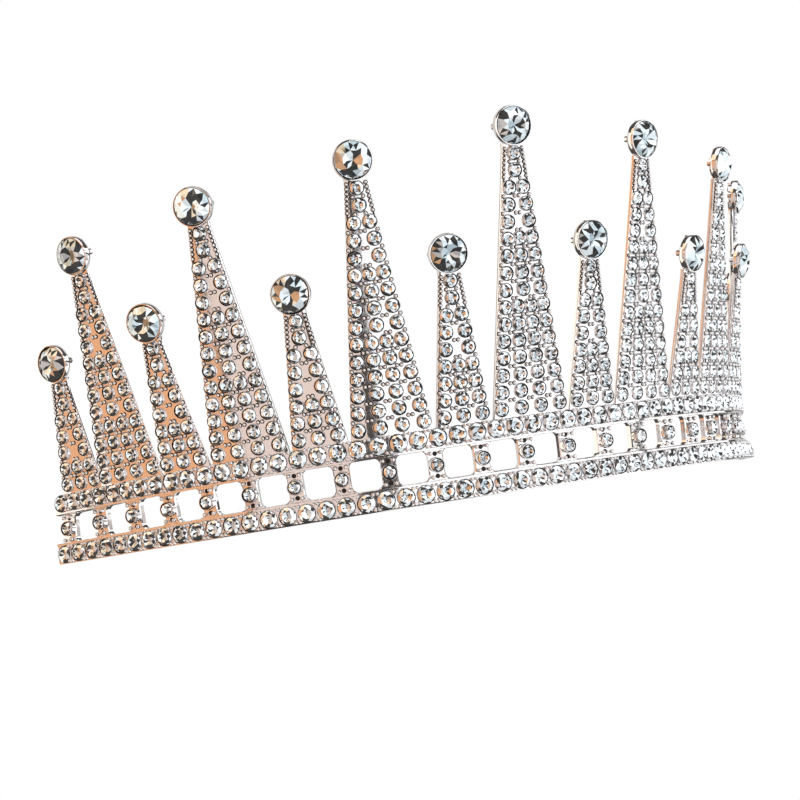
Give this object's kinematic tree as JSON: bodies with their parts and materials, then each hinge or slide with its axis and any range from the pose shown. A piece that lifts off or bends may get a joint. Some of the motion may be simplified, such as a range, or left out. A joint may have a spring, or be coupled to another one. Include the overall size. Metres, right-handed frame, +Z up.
{
  "type": "bridal tiara",
  "caption": "Open horseshoe tiara: two rows of round crystals with an openwork gallery between them, and tall and short pave spikes tipped with large bezel-set crystals.",
  "frame": {"origin": "middle of the bounding box, on the plane that the band stands on", "axes": "+Z up, -Y towards the front of the tiara, where the tallest spike is, +X to the wearer's left, along the band's width"},
  "size_m": [0.1498, 0.0642, 0.0638],
  "materials": {
    "silver_plate": "mirror-polished silver-coloured plating on cast zinc alloy",
    "rail_crystal": "round faceted foil-backed crystal",
    "top_crystal": "large round faceted foil-backed crystal"
  },
  "bodies": {
    "root": {"band_frame": "silver_plate", "bezel_cup_01": "silver_plate", "bezel_cup_02": "silver_plate", "bezel_cup_03": "silver_plate", "bezel_cup_04": "silver_plate", "bezel_cup_05": "silver_plate", "bezel_cup_06": "silver_plate", "bezel_cup_07": "silver_plate", "bezel_cup_08": "silver_plate", "bezel_cup_09": "silver_plate", "bezel_cup_10": "silver_plate", "bezel_cup_11": "silver_plate", "bezel_cup_12": "silver_plate", "bezel_cup_13": "silver_plate", "bezel_cup_14": "silver_plate", "bezel_cup_15": "silver_plate", "lower_rail": "silver_plate", "lower_rail_crystals": "rail_crystal", "spike_plate_01": "silver_plate", "spike_plate_02": "silver_plate", "spike_plate_03": "silver_plate", "spike_plate_04": "silver_plate", "spike_plate_05": "silver_plate", "spike_plate_06": "silver_plate", "spike_plate_07": "silver_plate", "spike_plate_08": "silver_plate", "spike_plate_09": "silver_plate", "spike_plate_10": "silver_plate", "spike_plate_11": "silver_plate", "spike_plate_12": "silver_plate", "spike_plate_13": "silver_plate", "spike_plate_14": "silver_plate", "spike_plate_15": "silver_plate", "top_crystal_01": "top_crystal", "top_crystal_02": "top_crystal", "top_crystal_03": "top_crystal", "top_crystal_04": "top_crystal", "top_crystal_05": "top_crystal", "top_crystal_06": "top_crystal", "top_crystal_07": "top_crystal", "top_crystal_08": "top_crystal", "top_crystal_09": "top_crystal", "top_crystal_10": "top_crystal", "top_crystal_11": "top_crystal", "top_crystal_12": "top_crystal", "top_crystal_13": "top_crystal", "top_crystal_14": "top_crystal", "top_crystal_15": "top_crystal", "upper_rail": "silver_plate", "upper_rail_crystals": "rail_crystal"}
  },
  "joints": []
}
